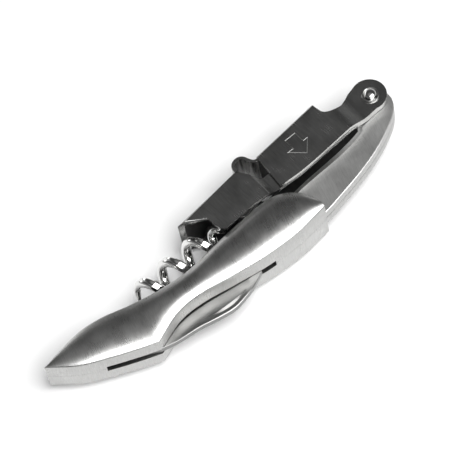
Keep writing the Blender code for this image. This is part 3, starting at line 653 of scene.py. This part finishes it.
def worm_nodes():
    """Spiral curve, closed in at the shank end, swept with a grooved round profile."""
    tree = bpy.data.node_groups.new("worm_wire", "GeometryNodeTree")
    sizes = {}
    for name, value in (("Pitch", WORM_PITCH * MM), ("Coil Radius", (WORM_RADIUS - WIRE_RADIUS) * MM),
                        ("Wire Radius", WIRE_RADIUS * MM),
                        ("Turns", (COIL_END - COIL_START) / WORM_PITCH),
                        ("Groove", 0.2), ("Shank Drop", 3.0 * MM)):
        item = tree.interface.new_socket(name, in_out="INPUT", socket_type="NodeSocketFloat")
        sizes[name] = (item.identifier, value)
    metal = tree.interface.new_socket("Steel", in_out="INPUT", socket_type="NodeSocketMaterial")
    sizes["Steel"] = (metal.identifier, None)
    tree.interface.new_socket("Wire", in_out="OUTPUT", socket_type="NodeSocketGeometry")
    given = tree.nodes.new("NodeGroupInput")
    result = tree.nodes.new("NodeGroupOutput")

    def node(kind, **settings):
        made = tree.nodes.new(kind)
        for key, value in settings.items():
            setattr(made, key, value)
        return made

    def put(target, source):
        if hasattr(source, "is_output"):
            tree.links.new(source, target)
        else:
            target.default_value = source

    def maths(operation, *values):
        made = node("ShaderNodeMath", operation=operation)
        for target, source in zip(made.inputs, values):
            put(target, source)
        return made.outputs["Value"]

    def eased_over(value, low, high, before, after):
        made = node("ShaderNodeMapRange", interpolation_type="SMOOTHSTEP")
        for key, source in (("Value", value), ("From Min", low), ("From Max", high),
                            ("To Min", before), ("To Max", after)):
            put(made.inputs[key], source)
        return made.outputs["Result"]

    spiral = node("GeometryNodeCurveSpiral")
    spiral.inputs["Resolution"].default_value = 72
    spiral.inputs["Reverse"].default_value = True
    put(spiral.inputs["Rotations"], given.outputs["Turns"])
    put(spiral.inputs["Start Radius"], given.outputs["Coil Radius"])
    put(spiral.inputs["End Radius"], given.outputs["Coil Radius"])
    put(spiral.inputs["Height"], maths("MULTIPLY", given.outputs["Turns"], given.outputs["Pitch"]))
    along = node("GeometryNodeSplineParameter").outputs["Factor"]
    closing = eased_over(along, 0.87, 0.985, 1.0, 0.0)
    drop = maths("MULTIPLY", eased_over(along, 0.94, 1.06, 0.0, 1.0), given.outputs["Shank Drop"])
    place = node("ShaderNodeSeparateXYZ")
    put(place.inputs["Vector"], node("GeometryNodeInputPosition").outputs["Position"])
    moved = node("ShaderNodeCombineXYZ")
    put(moved.inputs["X"], maths("SUBTRACT", maths("MULTIPLY", place.outputs["X"], closing), drop))
    put(moved.inputs["Y"], maths("MULTIPLY", place.outputs["Y"], closing))
    put(moved.inputs["Z"], place.outputs["Z"])
    shifted = node("GeometryNodeSetPosition")
    put(shifted.inputs["Geometry"], spiral.outputs["Curve"])
    put(shifted.inputs["Position"], moved.outputs["Vector"])
    pointed = maths("POWER", eased_over(along, -0.02, 0.17, 0.0, 1.0), 0.7)
    slimmed = node("GeometryNodeSetCurveRadius")
    put(slimmed.inputs["Curve"], shifted.outputs["Geometry"])
    put(slimmed.inputs["Radius"], pointed)
    upright = node("GeometryNodeSetCurveNormal")
    upright.mode = "Z_UP"
    put(upright.inputs["Curve"], slimmed.outputs["Curve"])
    circle = node("GeometryNodeCurvePrimitiveCircle")
    circle.inputs["Resolution"].default_value = 48
    put(circle.inputs["Radius"], given.outputs["Wire Radius"])
    rim = node("ShaderNodeSeparateXYZ")
    put(rim.inputs["Vector"], node("GeometryNodeInputPosition").outputs["Position"])
    leaning = maths("DIVIDE", rim.outputs["X"], given.outputs["Wire Radius"])
    hollow = maths("MULTIPLY", eased_over(leaning, 0.88, 1.0, 0.0, 1.0), given.outputs["Groove"])
    shrink = maths("SUBTRACT", 1.0, hollow)
    grooved = node("ShaderNodeVectorMath", operation="SCALE")
    put(grooved.inputs[0], node("GeometryNodeInputPosition").outputs["Position"])
    put(grooved.inputs["Scale"], shrink)
    profile = node("GeometryNodeSetPosition")
    put(profile.inputs["Geometry"], circle.outputs["Curve"])
    put(profile.inputs["Position"], grooved.outputs["Vector"])
    swept = node("GeometryNodeCurveToMesh")
    put(swept.inputs["Curve"], upright.outputs["Curve"])
    put(swept.inputs["Profile Curve"], profile.outputs["Geometry"])
    swept.inputs["Fill Caps"].default_value = True
    if "Scale" in swept.inputs:
        radius_now = node("GeometryNodeInputRadius")
        put(swept.inputs["Scale"], radius_now.outputs["Radius"])
    whole = node("GeometryNodeRealizeInstances")
    put(whole.inputs["Geometry"], swept.outputs["Mesh"])
    dressed = node("GeometryNodeSetMaterial")
    put(dressed.inputs["Geometry"], whole.outputs["Geometry"])
    put(dressed.inputs["Material"], given.outputs["Steel"])
    put(result.inputs["Wire"], dressed.outputs["Geometry"])
    return tree, sizes


polished = brushed_steel("polished_wire", 0.78, 0.09, (900.0, 900.0, 900.0), depth=0.12,
                         contrast=0.04)
worm_tree, worm_sizes = worm_nodes()
worm_maker = bpy.data.objects.new("worm_maker", bpy.data.meshes.new("worm_maker"))
bpy.context.scene.collection.objects.link(worm_maker)
worm_modifier = worm_maker.modifiers.new("wire", "NODES")
worm_modifier.node_group = worm_tree
for identifier, value in worm_sizes.values():
    worm_modifier[identifier] = polished if value is None else value
bpy.context.view_layer.update()
wire_state = bpy.context.evaluated_depsgraph_get()
worm_mesh = bpy.data.meshes.new_from_object(worm_maker.evaluated_get(wire_state))
bpy.data.objects.remove(worm_maker, do_unlink=True)
# The coil is made standing on its point; its own X becomes the tool's Y, its Z the tool's X.
lie_down = Matrix(((0.0, 0.0, 1.0), (1.0, 0.0, 0.0), (0.0, 1.0, 0.0))).to_4x4()
worm_mesh.transform(Matrix.Translation(spot(*WORM_TIP))
                    @ Matrix.Rotation(math.atan(WORM_SLOPE), 4, "Z") @ lie_down
                    @ Matrix.Rotation(math.radians(TIP_PHASE), 4, "Z"))
worm = bpy.data.objects.new("worm_wire", worm_mesh)
bpy.context.scene.collection.objects.link(worm)
finished(worm, polished, "worm", "polished_wire", "worm", angle=50.0)

# ---------------------------------------------------------------- knife blade
# Foil knife of 1.9 mm steel, ground from mid width down to its edge, with a round tang on the
# pivot pin and a long nail nick. Only its spine stands out of the back slot.
BLADE_HALF = 0.95
knife_top = knife_roof - RUN_CLEARANCE
blade_rows = smooth_rows([(26.5, -14.9, 26.0, -8.3), (31.8, -16.3, 31.5, knife_top - 0.3),
                          (38.4, -17.2, 38.0, knife_top - 0.3), (44.9, -18.7, 44.0, knife_top - 0.4),
                          (49.4, -19.3, 49.0, knife_top - 0.8), (54.3, -18.5, 54.0, -11.4),
                          (57.6, -17.5, 57.3, -12.8), (61.4, -15.7, 61.0, -15.2)], 6)
blade_builder = bmesh.new()
blade_loops = []
for xs, ys, xe, ye in blade_rows:
    loop = []
    profile = [(0.0, 0.86), (0.03, 1.0), (0.5, 1.0), (1.0, 0.08)]
    for share, thick in profile + [(s, -t) for s, t in reversed(profile)]:
        loop.append(blade_builder.verts.new(spot(xs + share * (xe - xs), ys + share * (ye - ys),
                                                 BLADE_HALF * thick)))
    blade_loops.append(loop)
for first, second in zip(blade_loops, blade_loops[1:]):
    for k in range(len(first)):
        n = (k + 1) % len(first)
        blade_builder.faces.new((first[k], first[n], second[n], second[k]))
blade_builder.faces.new(blade_loops[0])
blade_builder.faces.new(blade_loops[-1])
blade = shape("foil_knife", blade_builder)
tang_outline = round_line(knife_pivot, 3.4, 0.0, 212.0, 40) + [spot(27.2, -15.2), spot(28.0, -9.0)]
tang = slab("tang", tang_outline, -0.94, 0.94)
nick_line = [spot(x, y) for x, y in smooth_rows([(42.6, -16.7), (46.5, -17.45), (50.5, -17.65),
                                                 (54.7, -17.0)], 6)]
nick = []
for i, place in enumerate(nick_line):
    t = i / (len(nick_line) - 1)
    nick.append((place, 0.75 * math.sin(math.pi * (0.06 + 0.88 * t))))
nick_builder = bmesh.new()
nick_rings = []
for place, reach in nick:
    ring = [(0.0, -reach, BLADE_HALF + 0.3), (0.0, reach * 1.2, BLADE_HALF + 0.3),
            (0.0, -reach * 0.3, BLADE_HALF - 0.55 * max(reach, 0.1))]
    nick_rings.append([nick_builder.verts.new(place + Vector(p) * MM) for p in ring])
for first, second in zip(nick_rings, nick_rings[1:]):
    for k in range(3):
        n = (k + 1) % 3
        nick_builder.faces.new((first[k], first[n], second[n], second[k]))
nick_builder.faces.new(nick_rings[0])
nick_builder.faces.new(nick_rings[-1])
worked(blade, [("UNION", tang), ("DIFFERENCE", shape("nail_nick", nick_builder)),
               ("DIFFERENCE", plug("tang_eye", knife_pivot, 1.4, -3.0, 3.0))])
# The blade's steel is much darker than the castings': painted shade for the shade in the back slot.
blade_steel = brushed_steel("blade_steel", 0.24, 0.33, (350.0, 4200.0, 350.0), grain_turn=10.0,
                            depth=0.35, contrast=0.08)
finished(blade, blade_steel, "knife", "blade_steel", "knife_blade", angle=20.0)

# ---------------------------------------------------------------- hinge rivet and rings
# Stainless rivet through neck and ears, its round heads set over two turned rings.

def turned_piece(name, centre, rows, sides=64):
    """A lathe-turned closed body about the thickness; rows are radius and height."""
    builder = bmesh.new()
    rings = []
    for radius, height in rows:
        if radius <= 0.0:
            rings.append([builder.verts.new(centre + Vector((0.0, 0.0, height * MM)))])
            continue
        rings.append([builder.verts.new(centre + Vector((
            radius * MM * math.cos(2 * math.pi * k / sides),
            radius * MM * math.sin(2 * math.pi * k / sides), height * MM))) for k in range(sides)])
    closed = rows[0][0] > 0.0
    pairs = list(zip(rings, rings[1:] + rings[:1])) if closed else list(zip(rings, rings[1:]))
    for first, second in pairs:
        for k in range(sides):
            n = (k + 1) % sides
            corners = [first[k % len(first)], first[n % len(first)],
                       second[n % len(second)], second[k % len(second)]]
            builder.faces.new(list(dict.fromkeys(corners)))
    return shape(name, builder)


RING_BASE = EAR_OUT + 0.05
head_rows = [(1.6 * math.sin(math.radians(a)), 6.1 + 0.7 * math.cos(math.radians(a)))
             for a in range(0, 91, 10)]
rivet_rows = head_rows + [(1.5, 6.0), (1.2, 6.0)]
rivet_rows += [(r, -h) for r, h in reversed(rivet_rows)]
rivet = turned_piece("rivet", hinge, rivet_rows)
finished(rivet, polished, "handle", "polished_wire", "hinge_rivet", angle=40.0)
for tag, side in (("near", 1), ("far", -1)):
    rows = [(1.35, RING_BASE), (2.4, RING_BASE), (2.5, RING_BASE + 0.08), (2.5, 5.7), (2.38, 5.88),
            (2.2, 5.92), (2.0, 5.86), (1.9, 5.7), (1.75, 5.66), (1.35, 5.66)]
    ring = turned_piece("rivet_ring_" + tag, hinge, [(r, side * h) for r, h in rows])
    finished(ring, polished, "handle", "pin_steel", "hinge_ring_" + tag, angle=40.0)

# ---------------------------------------------------------------- hidden pins, washers and leaves
# Turned pins, washers and the bush between the halves, the knuckle and the spring leaves keep
# their plain shapes and get their steels.
turned_steel = brushed_steel("turned_steel", 0.62, 0.22, (700.0, 700.0, 5200.0), depth=0.4,
                             contrast=0.1)
spring_steel = brushed_steel("spring_steel", 0.5, 0.26, (300.0, 300.0, 4600.0), depth=0.4,
                             contrast=0.12)
steels = {"slip_spring": spring_steel, "lever_spring": spring_steel}
for name in ("dowel_tail", "dowel_middle", "dowel_neck", "knife_pin", "worm_pin", "spring_pin",
             "slip_spring", "knife_washer_near", "knife_washer_far", "worm_washer_near",
             "worm_washer_far", "hinge_bush", "worm_knuckle", "lever_spring",
             "lever_spring_rivet"):
    data = frame["nodes"][name].data
    data.materials.clear()
    data.materials.append(steels.get(name, turned_steel))
